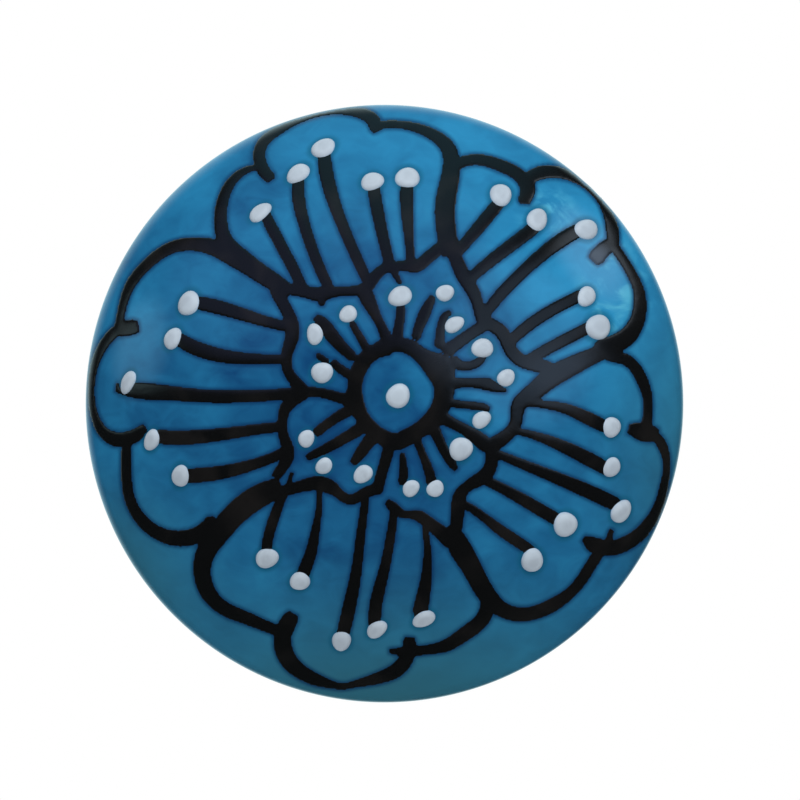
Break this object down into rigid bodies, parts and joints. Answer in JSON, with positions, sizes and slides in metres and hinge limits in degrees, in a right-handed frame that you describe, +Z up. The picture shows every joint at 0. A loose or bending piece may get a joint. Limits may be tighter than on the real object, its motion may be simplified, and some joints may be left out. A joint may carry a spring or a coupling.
{
  "type": "cabinet knob",
  "caption": "Round domed ceramic cabinet knob with a raised flower in black line and white dots, a turned metal base and a threaded fixing bolt.",
  "frame": {"origin": "on the bolt's axis, in the plane where the ferrule meets the door", "axes": "+Y along the bolt, into the door; the face looks towards -Y; +Z up, as the picture shows it; +X to the right seen from the front"},
  "size_m": [0.04, 0.0635, 0.04],
  "materials": {
    "turquoise_glaze": "glossy hand-painted turquoise glaze with cloudy tone",
    "black_line_glaze": "glossy raised black line",
    "white_dot_glaze": "glossy raised white drops",
    "ferrule_brass": "turned, lacquered",
    "bolt_steel": "zinc plated",
    "cement": "matt, cast"
  },
  "bodies": {
    "root": {"ceramic_head": "turquoise_glaze", "flower_lines": "black_line_glaze", "raised_dots": "white_dot_glaze", "base_ferrule": "ferrule_brass", "fixing_bolt": "bolt_steel", "anchor_cement": "cement"}
  },
  "joints": []
}
